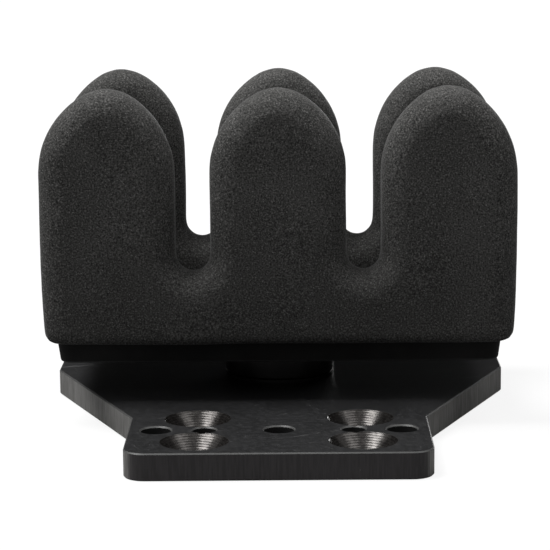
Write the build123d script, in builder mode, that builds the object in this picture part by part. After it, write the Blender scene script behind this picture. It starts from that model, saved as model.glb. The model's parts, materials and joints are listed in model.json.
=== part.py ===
"""Padded two-slot cradle that swivels on a machined mounting plate.

Frame: origin at the centre of the tongue's hole pattern, on the plate's underside.
+X runs to the right, +Y from the tongue towards the cradle, +Z up.  Sizes in millimetres.
"""

from math import atan2, cos, degrees, radians, sqrt, tan
import os

from build123d import *

# Base plate: outline
plate_thickness = 6.35
tongue_width = 69.4
tongue_front = 21.0  # hole pattern centre to the tongue's front edge
tongue_root = 11.6  # hole pattern centre to where the plate starts to widen
wide_width = 114.0
wide_start = 63.6  # hole pattern centre to where the sides turn parallel
plate_rear = 93.0  # hole pattern centre to the rear edge
tongue_corner_radius = 5.0
root_radius = 3.0
shoulder_radius = 3.0
rear_corner_radius = 8.0
plate_edge_chamfer = 0.3

# Base plate: holes in the tongue
screw_spacing_x = 38.1
screw_spacing_y = 21.0
screw_hole_diameter = 8.4
countersink_diameter = 15.6
countersink_angle = 90.0
plain_hole_diameter = 7.0  # centre hole and outer pair
inner_hole_diameter = 5.5
hole_rim_bevel = 0.35  # deburred upper rim of a plain hole, on the radius
hole_rim_angle = 90.0
inner_pair_spacing = 34.4
outer_pair_spacing = 56.6

# Swivel
swivel_y = 60.0  # hole pattern centre to the swivel's axis
boss_diameter = 27.6
boss_height = 7.4
boss_edge_chamfer = 0.5
thrust_washer_thickness = 0.8
friction_washer_thickness = 0.8
pivot_diameter = 8.0
pivot_clearance = 0.1  # on the diameter, around the fixed stretch of the pivot screw
running_clearance = 0.1  # on the diameter, screw in bush
head_clearance = 0.1  # on the diameter, screw head in its countersink
pivot_head_diameter = 15.0
pivot_socket_width = 5.0
pivot_socket_depth = 3.0
pivot_thread_beyond_nut = 2.0
bush_diameter = 12.0
cap_washer_diameter = 20.0
cap_washer_thickness = 1.6
spring_washer_diameter = 16.0
spring_washer_thickness = 0.9
spring_washer_cone = 0.35
nut_width = 13.0
nut_hexagon_height = 6.0
nut_face_step = 0.6  # width across the flats less the round face's diameter
nut_bevel_angle = 30.0
nut_collar_diameter = 11.6
nut_collar_height = 2.0
nut_ring_diameter = 10.0
nut_ring_thickness = 1.4

# Cradle: pads
pad_width = 115.2
pad_height = 61.4
pad_thickness = 15.0
pad_edge_radius = 6.4
edge_share = 0.45  # most of the pad's thickness that one edge's rounding may take
pad_bottom_radius = 1.6
slot_width = 8.3
slot_depth = 44.4
crest_distance = 52.3  # middle of the front pad to the middle of the rear pad
arch_side_radius = 22.0
arch_tip_radius = 11.0

# Cradle: combs inside the pads
comb_thickness = 3.0
comb_bend_radius = 3.0  # inside of the bend
comb_cover = 6.0  # foam between a comb's edge and the pad's outline
comb_flange = 16.0

# Cradle: foot, floor and their screws
foot_thickness = 5.0
foot_overhang = 3.6  # pad outside to the foot's upper edge, at the ends and at the faces
foot_corner_radius = 4.0
foot_draft_angle = 8.0
foot_bottom_radius = 0.8
floor_pad_thickness = 5.0  # foam above the comb flanges
floor_pad_gap = 0.2
floor_pad_edge_radius = 1.5
nut_well_diameter = 27.0
comb_screw_diameter = 4.0
comb_screw_head = 7.5
comb_screw_clearance = 0.1  # on the diameter
comb_screw_spacing = 38.0
comb_screw_socket_width = 2.5
comb_screw_socket_depth = 1.3

# Levels above the plate's underside
boss_bottom = plate_thickness + thrust_washer_thickness
boss_top = boss_bottom + boss_height
foot_bottom = boss_top + friction_washer_thickness
foot_top = foot_bottom + foot_thickness
flange_top = foot_top + comb_thickness
pad_top = foot_top + pad_height
slot_floor = pad_top - slot_depth
floor_top = flange_top + floor_pad_thickness
cap_washer_top = foot_top + cap_washer_thickness
spring_washer_height = spring_washer_thickness + spring_washer_cone
nut_bottom = cap_washer_top + 2 * spring_washer_height
nut_hexagon_top = nut_bottom + nut_hexagon_height
nut_top = nut_hexagon_top + nut_collar_height
pivot_tip = nut_top + pivot_thread_beyond_nut

# Places around the swivel's axis
finger_width = (pad_width - 2 * slot_width) / 3
finger_pitch = finger_width + slot_width
crest_y = crest_distance / 2  # swivel axis to the middle of a pad
foot_length = pad_width - 2 * foot_overhang
foot_depth = crest_distance + pad_thickness - 2 * foot_overhang
comb_outer_y = crest_y + comb_thickness / 2
comb_screw_y = comb_outer_y - comb_flange + comb_screw_head

swivel_axis = Axis((0, swivel_y, 0), (0, 0, 1))
# Half sections of turned pieces: local x is the radius, local y the height
turning_plane = Plane(origin=(0, swivel_y, 0), x_dir=(1, 0, 0), z_dir=(0, -1, 0))
# Front view at the front pad's inner face: local x is X, local y is Z, extruded towards the front
pad_inner_plane = Plane(
    origin=(0, swivel_y - crest_y + pad_thickness / 2, 0), x_dir=(1, 0, 0), z_dir=(0, -1, 0)
)
# Side view: local x is Y, local y is Z
side_plane = Plane(origin=(0, swivel_y, 0), x_dir=(0, 1, 0), z_dir=(1, 0, 0))
swivel_plane = Plane.XZ.offset(-swivel_y)

os.makedirs("parts", exist_ok=True)


def save(piece, name):
    """Label a finished piece and write it under its own name."""
    piece.part.label = name
    export_step(piece.part, f"parts/{name}.step")


def turned_ring(outer_diameter, bore_diameter, bottom, top, edge_chamfer=0.0):
    """A round ring on the swivel's axis."""
    with BuildPart() as ring:
        with BuildSketch(Plane.XY.offset(bottom)):
            with Locations((0, swivel_y)):
                Circle(outer_diameter / 2)
                Circle(bore_diameter / 2, mode=Mode.SUBTRACT)
        extrude(amount=top - bottom)
        if edge_chamfer:
            outside = ring.edges().filter_by(GeomType.CIRCLE).sort_by(SortBy.RADIUS)[-2:]
            chamfer(outside, edge_chamfer)
    return ring


def countersunk_screw(diameter, head_diameter, length, socket_width, socket_depth):
    """A flat-headed screw, head face at z = 0 and tip up at z = length, with a hexagon socket."""
    head_height = (head_diameter - diameter) / 2
    with BuildPart() as screw:
        with BuildSketch(Plane.XZ):
            with BuildLine():
                Polyline(
                    (0, 0),
                    (head_diameter / 2, 0),
                    (diameter / 2, head_height),
                    (diameter / 2, length),
                    (0, length),
                    close=True,
                )
            make_face()
        revolve(axis=Axis.Z)
        with BuildSketch():
            RegularPolygon(socket_width / 2, 6, major_radius=False)
        extrude(amount=socket_depth, mode=Mode.SUBTRACT)
    return screw


def pad_outline(bottom):
    """Front view of a pad: a wall with three pointed fingers and two round-bottomed slots."""
    half_finger = finger_width / 2
    side_centre = arch_side_radius - half_finger
    tip_rise = sqrt((arch_side_radius - arch_tip_radius) ** 2 - side_centre**2)
    spring_height = pad_top - arch_tip_radius - tip_rise
    side_angle = degrees(atan2(tip_rise, side_centre))
    with BuildSketch() as outline:
        with BuildLine():
            wall = Polyline(
                (-pad_width / 2, spring_height),
                (-pad_width / 2, bottom),
                (pad_width / 2, bottom),
                (pad_width / 2, spring_height),
            )
            Line(wall @ 1, wall @ 0)
        make_face()
        with Locations(*[(i * finger_pitch, spring_height) for i in (-1, 0, 1)]):
            add(finger_tip(half_finger, side_centre, tip_rise, side_angle))
        with Locations(*[(side * finger_pitch / 2, slot_floor + slot_width / 2) for side in (-1, 1)]):
            Circle(slot_width / 2, mode=Mode.SUBTRACT)
            Rectangle(slot_width, pad_height, align=(Align.CENTER, Align.MIN), mode=Mode.SUBTRACT)
    return outline.sketch


def finger_tip(half_finger, side_centre, tip_rise, side_angle):
    """A blunt pointed arch on its springing line: two side arcs and a smaller tip arc."""
    with BuildSketch() as tip:
        with BuildLine():
            CenterArc((side_centre, 0), arch_side_radius, 180, -side_angle)
            CenterArc((0, tip_rise), arch_tip_radius, 180 - side_angle, 2 * side_angle - 180)
            CenterArc((-side_centre, 0), arch_side_radius, side_angle, -side_angle)
            Line((half_finger, 0), (-half_finger, 0))
        make_face()
    return tip.sketch


# Base plate
with BuildPart() as base_plate:
    with BuildSketch():
        with BuildLine():
            Polyline(
                (0, -tongue_front),
                (tongue_width / 2, -tongue_front),
                (tongue_width / 2, tongue_root),
                (wide_width / 2, wide_start),
                (wide_width / 2, plate_rear),
                (0, plate_rear),
            )
            mirror(about=Plane.YZ)
        make_face()
    extrude(amount=plate_thickness)
    corners = base_plate.edges().filter_by(Axis.Z).group_by(Axis.Y)
    fillet(corners[0], tongue_corner_radius)
    corners = base_plate.edges().filter_by(Axis.Z).filter_by(
        lambda edge: abs(edge.center().Y - tongue_root) < root_radius
    )
    fillet(corners, root_radius)
    corners = base_plate.edges().filter_by(Axis.Z).filter_by(
        lambda edge: abs(edge.center().Y - wide_start) < shoulder_radius
    )
    fillet(corners, shoulder_radius)
    corners = base_plate.edges().filter_by(Axis.Z).group_by(Axis.Y)[-1]
    fillet(corners, rear_corner_radius)
    rims = base_plate.faces().filter_by(Axis.Z).edges()
    chamfer(rims, plate_edge_chamfer)
    with Locations((0, 0, plate_thickness)):
        with GridLocations(screw_spacing_x, screw_spacing_y, 2, 2):
            CounterSinkHole(
                screw_hole_diameter / 2,
                countersink_diameter / 2,
                counter_sink_angle=countersink_angle,
            )
        with GridLocations(outer_pair_spacing / 2, 0, 3, 1):
            CounterSinkHole(
                plain_hole_diameter / 2,
                plain_hole_diameter / 2 + hole_rim_bevel,
                counter_sink_angle=hole_rim_angle,
            )
        with GridLocations(inner_pair_spacing, 0, 2, 1):
            CounterSinkHole(
                inner_hole_diameter / 2,
                inner_hole_diameter / 2 + hole_rim_bevel,
                counter_sink_angle=hole_rim_angle,
            )
    with Locations(Plane(origin=(0, swivel_y, 0), z_dir=(0, 0, -1))):
        CounterSinkHole(
            (pivot_diameter + pivot_clearance) / 2,
            (pivot_head_diameter + head_clearance) / 2,
            counter_sink_angle=countersink_angle,
        )
save(base_plate, "base_plate")

# Swivel: what stays with the plate
fixed_bore = pivot_diameter + pivot_clearance
thrust_washer = turned_ring(boss_diameter, fixed_bore, plate_thickness, boss_bottom)
save(thrust_washer, "thrust_washer")

pivot_boss = turned_ring(boss_diameter, fixed_bore, boss_bottom, boss_top, boss_edge_chamfer)
save(pivot_boss, "pivot_boss")

plain_screw = countersunk_screw(
    pivot_diameter, pivot_head_diameter, pivot_tip, pivot_socket_width, pivot_socket_depth
)
with BuildPart() as pivot_screw:
    with Locations((0, swivel_y, 0)):
        add(plain_screw.part)
save(pivot_screw, "pivot_screw")

# Two cone spring washers, rims together: the lower one opens upwards, the upper one downwards
with BuildPart() as lower_spring_washer:
    with BuildSketch(turning_plane):
        with BuildLine():
            Polyline(
                (fixed_bore / 2, cap_washer_top),
                (spring_washer_diameter / 2, cap_washer_top + spring_washer_cone),
                (spring_washer_diameter / 2, cap_washer_top + spring_washer_height),
                (fixed_bore / 2, cap_washer_top + spring_washer_thickness),
                close=True,
            )
        make_face()
    revolve(axis=swivel_axis)
save(lower_spring_washer, "lower_spring_washer")

with BuildPart() as upper_spring_washer:
    rims_plane = Plane.XY.offset(cap_washer_top + spring_washer_height)
    mirror(lower_spring_washer.part, about=rims_plane)
save(upper_spring_washer, "upper_spring_washer")

# Lock nut: a hexagon with bevelled corners under a round collar
nut_corner_radius = nut_width / 2 / cos(radians(30))
nut_face_radius = (nut_width - nut_face_step) / 2
nut_bevel_height = (nut_corner_radius - nut_face_radius) * tan(radians(nut_bevel_angle))
with BuildPart() as lock_nut:
    with BuildSketch(Plane.XY.offset(nut_bottom)):
        with Locations((0, swivel_y)):
            RegularPolygon(nut_width / 2, 6, major_radius=False)
    extrude(amount=nut_hexagon_height)
    with BuildSketch(turning_plane):
        with BuildLine():
            Polyline(
                (0, nut_bottom),
                (nut_face_radius, nut_bottom),
                (nut_corner_radius, nut_bottom + nut_bevel_height),
                (nut_corner_radius, nut_hexagon_top - nut_bevel_height),
                (nut_face_radius, nut_hexagon_top),
                (0, nut_hexagon_top),
                close=True,
            )
        make_face()
    revolve(axis=swivel_axis, mode=Mode.INTERSECT)
    with BuildSketch(Plane.XY.offset(nut_hexagon_top)):
        with Locations((0, swivel_y)):
            Circle(nut_collar_diameter / 2)
    extrude(amount=nut_collar_height)
    with BuildSketch(Plane.XY.offset(nut_top)):
        with Locations((0, swivel_y)):
            Circle(nut_ring_diameter / 2)
    extrude(amount=-nut_ring_thickness, mode=Mode.SUBTRACT)
    with BuildSketch(Plane.XY.offset(nut_bottom)):
        with Locations((0, swivel_y)):
            Circle(fixed_bore / 2)
    extrude(amount=nut_top - nut_bottom, mode=Mode.SUBTRACT)
save(lock_nut, "lock_nut")

nut_ring = turned_ring(nut_ring_diameter, fixed_bore, nut_top - nut_ring_thickness, nut_top)
save(nut_ring, "nut_ring")

# Swivel: what turns with the cradle
friction_washer = turned_ring(boss_diameter, fixed_bore, boss_top, foot_bottom)
save(friction_washer, "friction_washer")

pivot_bush = turned_ring(bush_diameter, pivot_diameter + running_clearance, foot_bottom, foot_top)
save(pivot_bush, "pivot_bush")

cap_washer = turned_ring(cap_washer_diameter, fixed_bore, foot_top, cap_washer_top)
save(cap_washer, "cap_washer")

# Foot: tapered towards its underside, with countersunk holes for the comb screws
screw_places = [
    (i * comb_screw_spacing, swivel_y + side * comb_screw_y) for side in (-1, 1) for i in (-1, 0, 1)
]
with BuildPart() as swivel_foot:
    with BuildSketch(Plane.XY.offset(foot_top)):
        with Locations((0, swivel_y)):
            RectangleRounded(foot_length, foot_depth, foot_corner_radius)
    extrude(amount=-foot_thickness, taper=foot_draft_angle)
    fillet(swivel_foot.faces().sort_by(Axis.Z)[0].edges(), foot_bottom_radius)
    with BuildSketch(Plane.XY.offset(foot_top)):
        with Locations((0, swivel_y)):
            Circle(bush_diameter / 2)
    extrude(amount=-foot_thickness, mode=Mode.SUBTRACT)
    with Locations(Plane(origin=(0, 0, foot_bottom), x_dir=(1, 0, 0), z_dir=(0, 0, -1))):
        with Locations(*[(x, -y) for x, y in screw_places]):
            CounterSinkHole(
                (comb_screw_diameter + comb_screw_clearance) / 2,
                (comb_screw_head + comb_screw_clearance) / 2,
                counter_sink_angle=countersink_angle,
            )
save(swivel_foot, "swivel_foot")

# Combs: steel sheet bent to an angle, the upright cut to fingers smaller than the pad's.
# The foam takes the shape of the undrilled comb, so that none of it fills a screw hole.
with BuildPart() as undrilled_comb:
    with BuildSketch(side_plane):
        with BuildLine():
            FilletPolyline(
                (-comb_outer_y, pad_top),
                (-comb_outer_y, foot_top),
                (-comb_outer_y + comb_flange, foot_top),
                radius=comb_bend_radius + comb_thickness,
            )
            offset(amount=comb_thickness, side=Side.LEFT)
        make_face()
    extrude(amount=pad_width / 2, both=True)
    with BuildSketch(pad_inner_plane.offset(-comb_flange)):
        add(pad_outline(foot_top - comb_cover))
        offset(amount=-comb_cover, kind=Kind.ARC)
    extrude(amount=comb_flange + pad_thickness, mode=Mode.INTERSECT)

with BuildPart() as front_comb:
    add(undrilled_comb.part)
    with Locations(*[(x, y, flange_top) for x, y in screw_places[:3]]):
        Hole((comb_screw_diameter + comb_screw_clearance) / 2)
save(front_comb, "front_comb")

with BuildPart() as rear_comb:
    mirror(front_comb.part, about=swivel_plane)
save(rear_comb, "rear_comb")

# Comb screws: up through the foot, tips flush with the flange's top
small_screw = countersunk_screw(
    comb_screw_diameter,
    comb_screw_head,
    flange_top - foot_bottom,
    comb_screw_socket_width,
    comb_screw_socket_depth,
)
with BuildPart() as front_comb_screws:
    with Locations(*[(x, y, foot_bottom) for x, y in screw_places[:3]]):
        add(small_screw.part)
save(front_comb_screws, "front_comb_screws")

with BuildPart() as rear_comb_screws:
    mirror(front_comb_screws.part, about=swivel_plane)
save(rear_comb_screws, "rear_comb_screws")

# Pads: moulded over the combs, every edge rounded off but the flat underside's
with BuildPart() as front_pad:
    with BuildSketch(pad_inner_plane):
        add(pad_outline(foot_top))
    extrude(amount=pad_thickness)
    faces = front_pad.faces().filter_by(Axis.Y).sort_by(Axis.Y)
    rims = [
        edge
        for face in (faces[0], faces[-1])
        for edge in face.edges()
        if edge.center().Z > foot_top
    ]
    fillet(rims, min(pad_edge_radius, pad_thickness * edge_share))
    fillet(front_pad.faces().sort_by(Axis.Z)[0].edges(), pad_bottom_radius)
    add(undrilled_comb.part, mode=Mode.SUBTRACT)
save(front_pad, "front_pad")

with BuildPart() as rear_pad:
    mirror(front_pad.part, about=swivel_plane)
save(rear_pad, "rear_pad")

# Floor pad: lines the channel between the pads, with a well round the nut
channel_width = crest_distance - pad_thickness
with BuildPart() as floor_pad:
    with BuildSketch(Plane.XY.offset(foot_top)):
        with Locations((0, swivel_y)):
            Rectangle(foot_length, channel_width - 2 * floor_pad_gap)
            Circle(nut_well_diameter / 2, mode=Mode.SUBTRACT)
    extrude(amount=floor_top - foot_top)
    fillet(floor_pad.faces().sort_by(Axis.Z)[-1].edges(), floor_pad_edge_radius)
    add(undrilled_comb.part, mode=Mode.SUBTRACT)
    mirror(undrilled_comb.part, about=swivel_plane, mode=Mode.SUBTRACT)
save(floor_pad, "floor_pad")
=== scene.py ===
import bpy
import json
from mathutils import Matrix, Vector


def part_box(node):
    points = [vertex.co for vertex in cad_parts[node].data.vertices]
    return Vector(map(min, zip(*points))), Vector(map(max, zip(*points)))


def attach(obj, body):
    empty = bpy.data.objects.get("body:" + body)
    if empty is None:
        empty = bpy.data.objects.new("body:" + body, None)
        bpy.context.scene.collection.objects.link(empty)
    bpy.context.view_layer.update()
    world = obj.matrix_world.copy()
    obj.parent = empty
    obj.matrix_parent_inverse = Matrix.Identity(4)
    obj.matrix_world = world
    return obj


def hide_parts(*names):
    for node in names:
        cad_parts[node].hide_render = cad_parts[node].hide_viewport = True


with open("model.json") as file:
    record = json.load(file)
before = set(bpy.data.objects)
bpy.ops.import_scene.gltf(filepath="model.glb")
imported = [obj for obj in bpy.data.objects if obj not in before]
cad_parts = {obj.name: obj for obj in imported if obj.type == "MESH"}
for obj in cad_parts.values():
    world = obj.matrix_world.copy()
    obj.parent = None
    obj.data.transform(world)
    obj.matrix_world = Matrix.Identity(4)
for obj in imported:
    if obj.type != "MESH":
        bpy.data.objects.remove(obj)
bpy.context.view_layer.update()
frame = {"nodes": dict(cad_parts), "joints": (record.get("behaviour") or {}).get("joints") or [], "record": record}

# Padded two-slot cradle that swivels on a machined mounting plate.
# Metres, in the model's frame: origin at the centre of the tongue's hole pattern on the
# plate's underside, +X right, +Y from the tongue towards the cradle, +Z up.

import json
from math import cos, pi, radians, sin

import bmesh
import bpy
from mathutils import Matrix, Vector, noise

scene = bpy.context.scene
mm = 0.001


# ---- Stage: floor, surround, light and camera ---------------------------------------------
# A pale floor just under the plate, a strong soft light high on the left and a weaker one
# high on the right.  The surround is grey above, more so on the left, and dark low down,
# but for one bright patch behind.
class Value:
    """A node's output that takes part in plain arithmetic; each operator adds a Math node."""

    def __init__(self, finish, socket):
        self.finish = finish
        self.socket = socket

    def out(self, name):
        """Another output of the node that this value comes from."""
        return Value(self.finish, self.socket.node.outputs[name])

    def math(self, operation, *others):
        terms = dict(enumerate((self, *others)))
        return self.finish.node("ShaderNodeMath", {"operation": operation}, terms)

    def __add__(self, other):
        return self.math("ADD", other)

    def __mul__(self, other):
        return self.math("MULTIPLY", other)

    def __sub__(self, other):
        return self.math("SUBTRACT", other)

    def __rsub__(self, other):
        return self.finish.node("ShaderNodeMath", {"operation": "SUBTRACT"}, {0: other, 1: self})

    def __abs__(self):
        return self.math("ABSOLUTE")

    __radd__ = __add__

    def rise(self, low, high):
        """0 below low, 1 above high and a smooth rise between; it falls where low is above high."""
        return self.finish.node(
            "ShaderNodeMapRange",
            {"interpolation_type": "SMOOTHSTEP"},
            {"Value": self, "From Min": low, "From Max": high},
        )


class Nodes:
    """A tree of shader nodes, built up from nothing."""

    def __init__(self, tree):
        self.tree = tree
        self.tree.nodes.clear()

    def node(self, kind, settings=None, values=None):
        """Add a node: its settings first, then a number, a colour or a Value for each input."""
        node = self.tree.nodes.new(kind)
        for name, setting in (settings or {}).items():
            setattr(node, name, setting)
        for name, value in (values or {}).items():
            if isinstance(value, Value):
                self.tree.links.new(value.socket, node.inputs[name])
            else:
                node.inputs[name].default_value = value
        return Value(self, next((out for out in node.outputs if out.enabled), None))

    def parts(self, vector):
        """The three parts of a vector."""
        split = self.node("ShaderNodeSeparateXYZ", None, {0: vector})
        return split.out("X"), split.out("Y"), split.out("Z")

    def mix(self, mask, first, second):
        """A colour: first where mask is 0, second where it is 1."""
        rows = {0: mask}
        for row, colour in ((6, first), (7, second)):
            rows[row] = colour if isinstance(colour, Value) else (*colour, 1)
        mixed = self.node("ShaderNodeMix", {"data_type": "RGBA"}, rows)
        return Value(self, mixed.socket.node.outputs[2])


class Finish(Nodes):
    """One material."""

    def __init__(self, name):
        self.material = bpy.data.materials.new(name)
        self.material.use_nodes = True
        super().__init__(self.material.node_tree)

    def place(self):
        """The point on the piece, in metres."""
        return self.node("ShaderNodeTexCoord").out("Object")

    def vector(self, x, y, z):
        return self.node("ShaderNodeCombineXYZ", None, {0: x, 1: y, 2: z})

    def grain(self, size, detail=2.0, at=None, roughness=0.5):
        """Soft random clouds about one size across, in metres, from 0 to 1."""
        where = self.place() if at is None else at
        values = {"Vector": where, "Scale": 1 / size, "Detail": detail, "Roughness": roughness}
        return self.node("ShaderNodeTexNoise", {"normalize": True}, values)

    def cells(self, size):
        """Distance to the nearest of many scattered points; its Color output is random per point."""
        return self.node("ShaderNodeTexVoronoi", None, {"Vector": self.place(), "Scale": 1 / size})

    def bump(self, height, depth, strength=1.0):
        """A normal raised by height, where 1 stands depth metres proud."""
        values = {"Height": height, "Distance": depth, "Strength": strength}
        return self.node("ShaderNodeBump", None, values)

    def close(self, values):
        """The surface itself, once everything that feeds it is there."""
        shader = self.node("ShaderNodeBsdfPrincipled", None, values)
        self.node("ShaderNodeOutputMaterial", None, {"Surface": shader})
        return self.material


floor_reach = 6.0
floor_drop = 0.05 * mm
floor_white = 0.13  # paint, where the floor is seen directly
floor_lift = 0.85  # glow, where the floor is seen directly
floor_return = 0.16  # paint, for the light that the floor gives back to the object
surround_low = 0.02
surround_high = 0.84
surround_right_loss = 0.5  # share of the grey above that is missing on the right
low_band_behind = 0.22  # how much higher the dark reaches behind than in front, as a sine
patch_strength = 3.8
patch_towards = (0.36, 0.93, 0.06)
patch_edge = 0.982  # cosines of the angles where the patch ends and where it is full
patch_full = 0.993
left_strength = 3.1
right_strength = 0.65
light_spread = radians(30)
light_elevation = radians(66)
light_behind = 0.04  # how far each light stands behind the swivel, as a share of its distance

corners = [(-floor_reach, -floor_reach), (floor_reach, -floor_reach)]
corners += [(floor_reach, floor_reach), (-floor_reach, floor_reach)]
floor_mesh = bpy.data.meshes.new("floor")
floor_mesh.from_pydata([(x, y, -floor_drop) for x, y in corners], [], [(0, 1, 2, 3)])
floor = bpy.data.objects.new("floor", floor_mesh)
scene.collection.objects.link(floor)
# Seen directly the floor is white with faint shadows, but it gives back little light, so
# that the sides of the object keep their shade
finish = Finish("floor_paint")
seen = finish.node("ShaderNodeLightPath")
floor_mesh.materials.append(finish.close({
    "Base Color": finish.mix(seen, (floor_return,) * 3, (floor_white,) * 3),
    "Emission Color": finish.mix(seen, (0, 0, 0), (floor_lift,) * 3),
    "Emission Strength": 1.0,
    "Roughness": 0.9,
    "Specular IOR Level": 0.1,
}))

surround = bpy.data.worlds.new("surround")
surround.use_nodes = True
sky = Nodes(surround.node_tree)
towards = sky.node("ShaderNodeTexCoord").out("Generated")
right, back, up = sky.parts(towards)
patch = sky.node("ShaderNodeVectorMath", {"operation": "DOT_PRODUCT"}, {0: towards, 1: patch_towards})
patch = Value(sky, patch.socket.node.outputs["Value"]).rise(patch_edge, patch_full)
above = (up - back.rise(0.2, 0.8) * low_band_behind).rise(0.25, 0.60)
above = above * (1 - right.rise(-0.8, 0.8) * surround_right_loss)
glow = above * surround_high + surround_low + patch * patch_strength
light = sky.node("ShaderNodeBackground", None, {"Color": (1, 1, 1, 1), "Strength": glow})
sky.node("ShaderNodeOutputWorld", None, {"Surface": light})
scene.world = surround
scene.view_settings.view_transform = "Standard"

for name, side, strength in (("left_light", -1, left_strength), ("right_light", 1, right_strength)):
    lamp = bpy.data.lights.new(name, "SUN")
    lamp.energy = strength
    lamp.angle = light_spread
    lamp_object = bpy.data.objects.new(name, lamp)
    towards_lamp = Vector((side * cos(light_elevation), light_behind, sin(light_elevation)))
    lamp_object.rotation_euler = towards_lamp.to_track_quat("Z", "Y").to_euler()
    scene.collection.objects.link(lamp_object)

camera_place = Vector((3.64, -492.24, 132.06)) * mm
camera_down = radians(10.326)
camera_left = radians(0.49)
camera_roll = radians(-0.547)
camera_sensor = 36  # this and the lens are in millimetres
camera_lens = 144.4
nearest_seen = 10 * mm
camera_data = bpy.data.cameras.new("camera")
camera_data.sensor_width = camera_sensor
camera_data.lens = camera_lens
camera_data.clip_start = nearest_seen
camera = bpy.data.objects.new("camera", camera_data)
camera.matrix_world = (
    Matrix.Translation(camera_place)
    @ Matrix.Rotation(camera_left, 4, "Z")
    @ Matrix.Rotation(pi / 2 - camera_down, 4, "X")
    @ Matrix.Rotation(camera_roll, 4, "Z")
)
scene.collection.objects.link(camera)
scene.camera = camera


# ---- Base plate ---------------------------------------------------------------------------
# Quarter-inch aluminium sawn and milled to outline, black anodised, then drilled and
# countersunk through the coating, so the cones are bare metal with turning ridges.
def paint(node, material):
    """Give a carried-over piece its finish."""
    slot = frame["nodes"][node].material_slots[0]
    slot.link = "OBJECT"
    slot.material = material


swivel_y = frame["joints"][0]["pos_m"][1]
mounts = {mount["name"]: mount for mount in frame["record"]["mounts"]}
screw_pattern = mounts["tongue_screws"]["dims"]
screw_half_x = screw_pattern["spacing_x_mm"] / 2 * mm
screw_half_y = screw_pattern["spacing_y_mm"] / 2 * mm
countersink_radius = 7.8 * mm
countersink_edge = 0.06 * mm
bare_from = 0.4 * mm  # height above the underside where the bare metal starts
plain_holes_half_x = 32.5 * mm  # half the strip of the tongue that holds the plain holes
plain_holes_half_y = 4.1 * mm
swivel_hole_radius = 7.7 * mm
mask_edge = 0.1 * mm
ridge_pitch = 0.48 * mm
relief_depth = 0.05 * mm

finish = Finish("black_anodised_plate")
x, y, z = finish.parts(finish.place())
facing = finish.node("ShaderNodeNewGeometry").out("True Normal")
facing_x, _, facing_z = finish.parts(facing)
upright = abs(facing_z)
off_x = abs(x) - screw_half_x
off_y = abs(y) - screw_half_y
from_screw = (off_x * off_x + off_y * off_y).math("SQRT")
bare = from_screw.rise(countersink_radius + countersink_edge, countersink_radius - countersink_edge)
bare = bare * z.rise(bare_from - mask_edge, bare_from + mask_edge)
in_row_x = abs(x).rise(plain_holes_half_x + mask_edge, plain_holes_half_x - mask_edge)
in_row_y = abs(y).rise(plain_holes_half_y + mask_edge, plain_holes_half_y - mask_edge)
from_swivel_y = y - swivel_y
swivel_hole = (from_swivel_y * from_swivel_y + x * x).math("SQRT")
swivel_hole = swivel_hole.rise(swivel_hole_radius + mask_edge, swivel_hole_radius - mask_edge)
drilled = upright.rise(0.3, 0.1) * (in_row_x * in_row_y).math("MAXIMUM", swivel_hole)
side = upright.rise(0.3, 0.1) * (1 - drilled) * (1 - bare)
# The chamfers along the top edges, which are coloured lighter below as a painted highlight
painted_arris_highlight = upright.rise(0.55, 0.65) * upright.rise(0.85, 0.75) * (1 - bare)
# Milled sides: fine upright streaks, narrow along the outline and long up the side
streaks = finish.grain(1, 3, finish.vector(x * 2600, y * 2600, z * 160))
coarse_streaks = finish.grain(1, 2, finish.vector(x * 420, y * 420, z * 18))
# Top: faint cloudiness from the anodising, dust, and a few hair scratches
clouds = finish.grain(9 * mm, 3)
small_clouds = finish.grain(1.6 * mm, 3)
tooth = finish.grain(0.22 * mm, 2)
dust_cells = finish.cells(2.6 * mm)
chosen = finish.node("ShaderNodeSeparateColor", None, {0: dust_cells.out("Color")})
dust = dust_cells.rise(0.055, 0.03) * chosen.rise(0.72, 0.78)
scratches = 0.0
for turn, stretch, width in ((0.5, 60, 0.010), (-0.9, 85, 0.008), (1.9, 70, 0.009)):
    turning = {"Vector": finish.place(), "Rotation": (0, 0, turn)}
    turned = finish.node("ShaderNodeMapping", {"vector_type": "TEXTURE"}, turning)
    along, across, _ = finish.parts(turned)
    lines = finish.grain(1, 0, finish.vector(along * stretch, across * 900, turn * 7))
    where = finish.grain(6 * mm, 1, finish.vector(along + turn, across * 3, turn))
    scratches = abs(lines - 0.5).rise(width, 0) * where.rise(0.60, 0.66) + scratches
scratches = scratches * upright.rise(0.9, 0.95)
coat = finish.mix(clouds.rise(0.3, 0.7), (0.0070, 0.0071, 0.0075), (0.0105, 0.0106, 0.0111))
coat = finish.mix(small_clouds.rise(0.42, 0.68) * 0.7, coat, (0.019, 0.019, 0.0200))
coat = finish.mix(tooth.rise(0.50, 0.72) * 0.6, coat, (0.032, 0.032, 0.0325))
# Painted light: milled sides turned left or right are coloured much lighter than those facing front or back, for
# the lamps at the sides; their streaks are real
across_side = abs(facing_x).rise(0.55, 0.85)
painted_lit_side_streaks = streaks.rise(0.3, 0.7) * 0.6 + coarse_streaks * 0.4
painted_lit_side = finish.mix(painted_lit_side_streaks, (0.070, 0.068, 0.064), (0.26, 0.256, 0.248))
front_mask = streaks.rise(0.3, 0.7) * 0.6 + clouds * 0.4
front_side = finish.mix(front_mask, (0.033, 0.0307, 0.0318), (0.060, 0.0558, 0.0575))
coat = finish.mix(side, coat, finish.mix(across_side, front_side, painted_lit_side))
coat = finish.mix(drilled, coat, (0.010, 0.010, 0.010))
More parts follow.
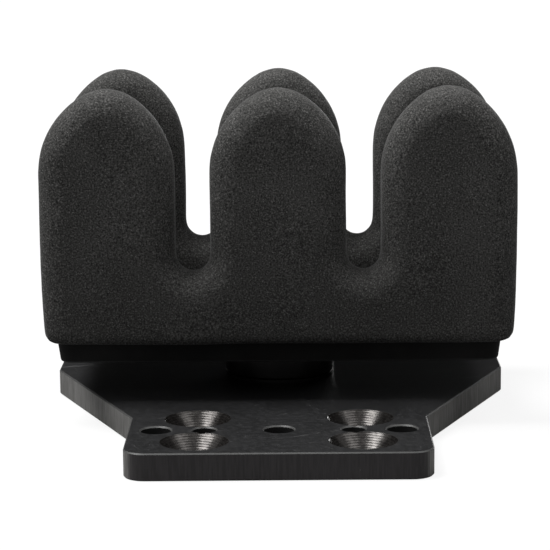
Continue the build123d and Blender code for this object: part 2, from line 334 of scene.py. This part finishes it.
# Painted highlight: the chamfers are coloured lighter than the coat, for the light they catch
coat = finish.mix(painted_arris_highlight * 0.6, coat, (0.085, 0.085, 0.083))
coat = finish.mix(scratches * 0.5, coat, (0.10, 0.10, 0.10))
coat = finish.mix(dust * 0.55, coat, (0.22, 0.22, 0.22))
ridges = (from_screw * (2 * pi / ridge_pitch)).math("SINE") * 0.35 + finish.grain(0.3 * mm, 2) * 0.35
worn = finish.grain(1.1 * mm, 4).rise(0.35, 0.7) * 0.6 + ridges.rise(-0.1, 0.6) * 0.4
metal = finish.mix(worn, (0.022, 0.020, 0.019), (0.062, 0.058, 0.055))
colour = finish.mix(bare, coat, metal)
height = ridges * bare * 0.6 + (tooth * 0.22 + streaks * side * 0.5 - scratches * 0.3) * (1 - bare)
rough = 0.34 + clouds * 0.08 + small_clouds * 0.10 + tooth * 0.06 - side * 0.04 + dust * 0.3
paint("base_plate", finish.close({
    "Base Color": colour,
    "Metallic": bare * 0.7,
    "Roughness": rough * (1 - bare) + bare * 0.22,
    "Specular IOR Level": 0.36,
    "Normal": finish.bump(height, relief_depth),
}))


# ---- Thrust washer and pivot boss ---------------------------------------------------------
# A thin hardened washer lies on the plate, and on it stands the turned boss that the cradle
# swings on.  Both are blackened steel, smooth from the lathe, with its fine lines round them.
def from_swivel(finish):
    """Distance from the swivel's axis, and height."""
    x, y, z = finish.parts(finish.place())
    off_y = y - swivel_y
    return (x * x + off_y * off_y).math("SQRT"), z


def turned_black(name, dark, light, rough, line_pitch, depth):
    """Blackened steel with lathe lines, which run round a side and in rings over a face."""
    finish = Finish(name)
    radius, height = from_swivel(finish)
    turns = (radius + height) * (1 / line_pitch)
    values = {"W": turns, "Scale": 1.0, "Detail": 3.0}
    lines = finish.node("ShaderNodeTexNoise", {"noise_dimensions": "1D"}, values)
    clouds = finish.grain(2.5 * mm, 3)
    return finish.close({
        "Base Color": finish.mix(lines * 0.6 + clouds * 0.4, dark, light),
        "Metallic": 0.25,
        "Roughness": rough + clouds * 0.06 + lines * 0.05,
        "Specular IOR Level": 0.6,
        "Coat Weight": 0.3,
        "Coat Roughness": 0.12,
        "Normal": finish.bump(lines, depth),
    })


paint("pivot_boss", turned_black(
    "blackened_boss",
    dark=(0.012, 0.012, 0.012),
    light=(0.026, 0.025, 0.024),
    rough=0.16,
    line_pitch=0.16 * mm,
    depth=0.004 * mm,
))
paint("thrust_washer", turned_black(
    "blackened_washer",
    dark=(0.020, 0.020, 0.020),
    light=(0.050, 0.048, 0.046),
    rough=0.18,
    line_pitch=0.22 * mm,
    depth=0.004 * mm,
))


# ---- Pivot screw and comb screws ----------------------------------------------------------
# Black-oxide steel socket screws.  The pivot screw comes up through the whole swivel, and
# its thread, which is rolled, shows above the nut.
def black_oxide():
    """Thin black coating on steel, greyer where it has been handled."""
    finish = Finish("black_oxide_steel")
    rubbed = finish.grain(1.4 * mm, 4).rise(0.50, 0.72)
    tooth = finish.grain(0.12 * mm, 2)
    return finish.close({
        "Base Color": finish.mix(rubbed * 0.8, (0.028, 0.028, 0.030), (0.095, 0.092, 0.088)),
        "Metallic": 0.85,
        "Roughness": 0.34 + tooth * 0.16 - rubbed * 0.06,
        "Normal": finish.bump(tooth, 0.010 * mm),
    })


def thread_tree():
    """A rolled thread: a core with a helical ridge, standing on the origin."""
    tree = bpy.data.node_groups.new("rolled_thread", "GeometryNodeTree")
    face = tree.interface
    face.new_socket("Shank", in_out="INPUT", socket_type="NodeSocketGeometry")
    lengths = ("Ridge Radius", "Helix Radius", "Core Radius", "Start Height", "Length", "Axis Y")
    for name in ("Turns", *lengths):
        face.new_socket(name, in_out="INPUT", socket_type="NodeSocketFloat")
    face.new_socket("Finish", in_out="INPUT", socket_type="NodeSocketMaterial")
    face.new_socket("Screw", in_out="OUTPUT", socket_type="NodeSocketGeometry")
    given = tree.nodes.new("NodeGroupInput").outputs

    def add(kind, settings, values):
        node = tree.nodes.new(kind)
        for name, setting in settings.items():
            setattr(node, name, setting)
        for name, value in values.items():
            if isinstance(value, bpy.types.NodeSocket):
                tree.links.new(value, node.inputs[name])
            else:
                node.inputs[name].default_value = value
        return node.outputs[0]

    helix = add("GeometryNodeCurveSpiral", {}, {
        "Resolution": 40, "Rotations": given["Turns"], "Start Radius": given["Helix Radius"],
        "End Radius": given["Helix Radius"], "Height": given["Length"],
    })
    section = add("GeometryNodeCurvePrimitiveCircle", {}, {
        "Resolution": 8, "Radius": given["Ridge Radius"],
    })
    ridge = add("GeometryNodeCurveToMesh", {}, {
        "Curve": helix, "Profile Curve": section, "Fill Caps": True,
    })
    core = add("GeometryNodeMeshCylinder", {}, {
        "Vertices": 48, "Radius": given["Core Radius"], "Depth": given["Length"],
    })
    half = add("ShaderNodeMath", {"operation": "MULTIPLY"}, {0: given["Length"], 1: 0.5})
    lift = add("ShaderNodeCombineXYZ", {}, {"Z": half})
    core = add("GeometryNodeTransform", {}, {"Geometry": core, "Translation": lift})
    both = tree.nodes.new("GeometryNodeJoinGeometry")
    tree.links.new(ridge, both.inputs[0])
    tree.links.new(core, both.inputs[0])
    place = add("ShaderNodeCombineXYZ", {}, {"Y": given["Axis Y"], "Z": given["Start Height"]})
    thread = add("GeometryNodeTransform", {}, {"Geometry": both.outputs[0], "Translation": place})
    whole = tree.nodes.new("GeometryNodeJoinGeometry")
    tree.links.new(thread, whole.inputs[0])
    tree.links.new(given["Shank"], whole.inputs[0])
    real = add("GeometryNodeRealizeInstances", {}, {"Geometry": whole.outputs[0]})
    finished = add("GeometryNodeSetMaterial", {}, {"Geometry": real, "Material": given["Finish"]})
    tree.links.new(finished, tree.nodes.new("NodeGroupOutput").inputs[0])
    return tree


def plain_copy(source, name):
    """What an object's modifiers make of it, as a plain mesh in an object of its own."""
    graph = bpy.context.evaluated_depsgraph_get()
    mesh = bpy.data.meshes.new_from_object(source.evaluated_get(graph))
    piece = bpy.data.objects.new(name, mesh)
    scene.collection.objects.link(piece)
    return piece


oxide = black_oxide()
thread_pitch = 1.25 * mm
ridge_radius = 0.36 * thread_pitch
ridge_height = 1.3 * ridge_radius  # how far the ridges stand proud of the core
major_radius = 4.0 * mm
weld_distance = 0.001 * mm
_, screw_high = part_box("pivot_screw")
_, bush_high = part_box("pivot_bush")
thread_start = bush_high.z
thread_length = screw_high.z - thread_start - ridge_radius

# The plain screw is cut off level with the bush, and the thread goes on from there
shank = frame["nodes"]["pivot_screw"].data.copy()
cutter = bmesh.new()
cutter.from_mesh(shank)
bmesh.ops.remove_doubles(cutter, verts=cutter.verts, dist=weld_distance)
bmesh.ops.bisect_plane(
    cutter,
    geom=[*cutter.verts, *cutter.edges, *cutter.faces],
    plane_co=(0, 0, thread_start),
    plane_no=(0, 0, 1),
    clear_outer=True,
)
bmesh.ops.holes_fill(cutter, edges=[edge for edge in cutter.edges if edge.is_boundary])
cutter.to_mesh(shank)
cutter.free()
rough_screw = bpy.data.objects.new("screw_blank", shank)
scene.collection.objects.link(rough_screw)
rolling = rough_screw.modifiers.new("rolling", "NODES")
rolling.node_group = thread_tree()
thread_values = {
    "Ridge Radius": ridge_radius,
    "Helix Radius": major_radius - ridge_radius,
    "Core Radius": major_radius - ridge_height,
    "Turns": thread_length / thread_pitch,
    "Start Height": thread_start,
    "Length": thread_length,
    "Axis Y": swivel_y,
    "Finish": oxide,
}
for socket in rolling.node_group.interface.items_tree:
    if socket.in_out == "INPUT" and socket.name in thread_values:
        rolling[socket.identifier] = thread_values[socket.name]
threaded_screw = plain_copy(rough_screw, "pivot_screw_threaded")
bpy.data.objects.remove(rough_screw)
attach(threaded_screw, "base")
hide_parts("pivot_screw")
paint("front_comb_screws", oxide)
paint("rear_comb_screws", oxide)


# ---- Cap washer, spring washers and lock nut ----------------------------------------------
# Zinc-plated steel parts on top of the foot: they hold the cradle down on its boss, and the
# cone washers keep the swivel stiff enough to stay where it is put.
def zinc_plate():
    """Clear zinc: pale bluish steel with warmer clouds and tiny pits."""
    finish = Finish("zinc_plate")
    clouds = finish.grain(3.2 * mm, 3)
    pits = finish.cells(0.35 * mm).rise(0.30, 0.10)
    tooth = finish.grain(0.18 * mm, 2)
    plating = finish.mix(clouds.rise(0.35, 0.65), (0.38, 0.41, 0.45), (0.49, 0.47, 0.42))
    return finish.close({
        "Base Color": finish.mix(pits * 0.3, plating, (0.30, 0.29, 0.28)),
        "Metallic": 1.0,
        "Roughness": 0.30 + clouds * 0.14 + pits * 0.1,
        "Normal": finish.bump(tooth - pits * 0.4, 0.008 * mm),
    })


zinc = zinc_plate()
for node in ("cap_washer", "lower_spring_washer", "upper_spring_washer", "lock_nut"):
    paint(node, zinc)


# ---- Nylon ring and pivot bush ------------------------------------------------------------
# Natural nylon: the locking ring rolled into the nut, and the bearing sleeve in the foot.
# Only the ring shows, as a pale band on top of the nut.
def nylon():
    """Off-white, slightly waxy plastic with faint flow marks."""
    finish = Finish("natural_nylon")
    flow = finish.grain(1.8 * mm, 3)
    tooth = finish.grain(0.15 * mm, 2)
    return finish.close({
        "Base Color": finish.mix(flow, (0.66, 0.63, 0.55), (0.80, 0.78, 0.71)),
        "Roughness": 0.38 + flow * 0.15,
        "Specular IOR Level": 0.45,
        "Normal": finish.bump(tooth * 0.5 + flow * 0.5, 0.015 * mm),
    })


nylon_finish = nylon()
for node in ("nut_ring", "pivot_bush"):
    paint(node, nylon_finish)


# ---- Friction washer ----------------------------------------------------------------------
# A black acetal ring between the boss and the foot, pressed from sheet.  It turns with the
# cradle and slides on the boss.
finish = Finish("black_acetal")
clouds = finish.grain(2.0 * mm, 3)
tooth = finish.grain(0.15 * mm, 2)
paint("friction_washer", finish.close({
    "Base Color": finish.mix(clouds, (0.016, 0.016, 0.017), (0.030, 0.030, 0.031)),
    "Roughness": 0.42 + clouds * 0.18,
    "Normal": finish.bump(tooth, 0.010 * mm),
}))


# ---- Swivel foot --------------------------------------------------------------------------
# The black plate under the pads, machined with sloping sides, blasted and anodised, so it
# is duller than the base plate.
finish = Finish("black_blasted_foot")
_, _, facing_z = finish.parts(finish.node("ShaderNodeNewGeometry").out("True Normal"))
blast = finish.grain(0.20 * mm, 3)
clouds = finish.grain(7 * mm, 3)
# Painted highlight: the slanted edges are coloured lighter than the coat, for the light they catch
edge = abs(facing_z).rise(0.25, 0.6) * abs(facing_z).rise(0.97, 0.8)
coat = finish.mix(clouds.rise(0.3, 0.7), (0.0060, 0.0058, 0.0058), (0.0100, 0.0097, 0.0097))
coat = finish.mix(blast.rise(0.55, 0.8) * 0.5, coat, (0.022, 0.022, 0.022))
paint("swivel_foot", finish.close({
    "Base Color": finish.mix(edge * 0.5, coat, (0.07, 0.07, 0.07)),
    "Roughness": 0.52 + blast * 0.12 - edge * 0.1,
    "Specular IOR Level": 0.18,
    "Normal": finish.bump(blast, 0.020 * mm),
}))


# ---- Combs --------------------------------------------------------------------------------
# Three-millimetre steel sheet, cut to fingers, bent to an angle and zinc plated.  They show
# only at their cut ends, under the floor pad.
finish = Finish("zinc_sheet")
x, y, z = finish.parts(finish.place())
rolled = finish.grain(1, 3, finish.vector(x * 70, y * 2200, z * 2200))
clouds = finish.grain(5 * mm, 3)
sheet_finish = finish.close({
    "Base Color": finish.mix(rolled * 0.5 + clouds * 0.5, (0.30, 0.31, 0.33), (0.52, 0.52, 0.51)),
    "Metallic": 1.0,
    "Roughness": 0.32 + clouds * 0.15,
    "Normal": finish.bump(rolled, 0.015 * mm),
})
for node in ("front_comb", "rear_comb"):
    paint(node, sheet_finish)


# ---- Foam pads ----------------------------------------------------------------------------
# Each wall is foam moulded over its comb, with a closed, matt, sandy skin.  The skin is not
# quite flat: it waves slowly, and the ends of a wall draw in towards the foot.
skin_voxel = 1.15 * mm
smoothing_passes = 4
wave_size = 15 * mm
wave_height = 0.22 * mm
pimple_size = 2.2 * mm
pimple_height = 0.035 * mm
draw_in = 0.8 * mm
draw_in_height = 20 * mm
painted_shade_top = 62 * mm  # from here down to the next height the foam is painted darker, by the share below: painted shade for the light that falls off towards the foot
painted_shade_bottom = 16 * mm
painted_shade_share = 0.30


def foam_finish():
    """Matt charcoal foam skin: sandy grain, pale flecks that are partly painted glints, a soft bloom at glancing
    angles, and painted shade towards the foot.
    """
    finish = Finish("foam_skin")
    sand = finish.grain(0.40 * mm, 2, roughness=0.6)
    coarse = finish.grain(1.0 * mm, 2)
    slow = finish.grain(14 * mm, 3)
    _, _, height = finish.parts(finish.place())
    cells = finish.cells(0.42 * mm)
    chosen = finish.node("ShaderNodeSeparateColor", None, {0: cells.out("Color")})
    flecks_and_glints = cells.rise(0.42, 0.22) * chosen.rise(0.92, 0.95)
    pores = finish.cells(0.60 * mm).rise(0.34, 0.12)
    base = finish.mix(slow.rise(0.3, 0.7), (0.056, 0.0555, 0.0535), (0.072, 0.0710, 0.0690))
    base = finish.mix(sand.rise(0.50, 0.74), base, (0.172, 0.169, 0.164))
    base = finish.mix(sand.rise(0.50, 0.31), base, (0.018, 0.018, 0.0173))
    # Pale flecks: partly pale grains in the skin, partly painted glints
    base = finish.mix(flecks_and_glints * 0.5, base, (0.34, 0.34, 0.335))
    # Painted shade: the foam's colour darkens towards the foot, standing in for the light that falls off there
    painted_shade = height.rise(painted_shade_top, painted_shade_bottom) * painted_shade_share
    base = finish.mix(painted_shade, base, (0.012, 0.0115, 0.011))
    relief = sand * 0.6 + coarse * 0.5 - pores * 0.5 + flecks_and_glints * 0.4
    return finish.close({
        "Base Color": base,
        "Roughness": 0.86 + sand * 0.12,
        "Specular IOR Level": 0.12,
        "Sheen Weight": 0.25,
        "Sheen Roughness": 0.22,
        "Sheen Tint": (0.9, 0.9, 0.9, 1),
        "Normal": finish.bump(relief, 0.14 * mm, 0.9),
    })


def foam_skin(node, voxel, seed):
    """A pad's own mesh: the moulded shape, made even, with slow waves and fine pimples."""
    mesh = frame["nodes"][node].data.copy()
    welded = bmesh.new()
    welded.from_mesh(mesh)
    bmesh.ops.remove_doubles(welded, verts=welded.verts, dist=weld_distance)
    welded.to_mesh(mesh)
    welded.free()
    rough_pad = bpy.data.objects.new(node + "_blank", mesh)
    scene.collection.objects.link(rough_pad)
    even = rough_pad.modifiers.new("even", "REMESH")
    even.mode = "VOXEL"
    even.voxel_size = voxel
    relax = rough_pad.modifiers.new("relax", "SMOOTH")
    relax.factor = 0.5
    relax.iterations = smoothing_passes
    pad = plain_copy(rough_pad, node + "_foam")
    bpy.data.objects.remove(rough_pad)
    shift = Vector((seed * 0.1, 0, 0))
    low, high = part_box(node)
    moves = []
    for vertex in pad.data.vertices:
        slow = noise.noise((vertex.co + shift) / wave_size)
        fine = noise.noise((vertex.co + shift) / pimple_size)
        towards_foot = max(0, 1 - (vertex.co.z - low.z) / draw_in_height)
        drawn = Vector((-draw_in * towards_foot**2 * vertex.co.x / high.x, 0, 0))
        moves.append(vertex.normal * (wave_height * slow + pimple_height * fine) + drawn)
    for vertex, move in zip(pad.data.vertices, moves):
        vertex.co += move
    pad.data.polygons.foreach_set("use_smooth", [True] * len(pad.data.polygons))
    round_off = pad.modifiers.new("round_off", "SUBSURF")
    round_off.levels = 1
    round_off.render_levels = 1
    pad.data.materials.clear()
    pad.data.materials.append(foam)
    return pad


foam = foam_finish()
for seed, node in enumerate(("front_pad", "rear_pad")):
    pad = foam_skin(node, skin_voxel, seed)
    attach(pad, "cradle")
    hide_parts(node)


# ---- Floor pad ----------------------------------------------------------------------------
# The same foam as a flat strip that lines the channel between the walls, with a round well
# over the nut.
strip_voxel = 0.9 * mm  # finer than the walls, as the strip is thin
strip_seed = 5

floor_strip = foam_skin("floor_pad", strip_voxel, strip_seed)
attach(floor_strip, "cradle")
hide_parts("floor_pad")
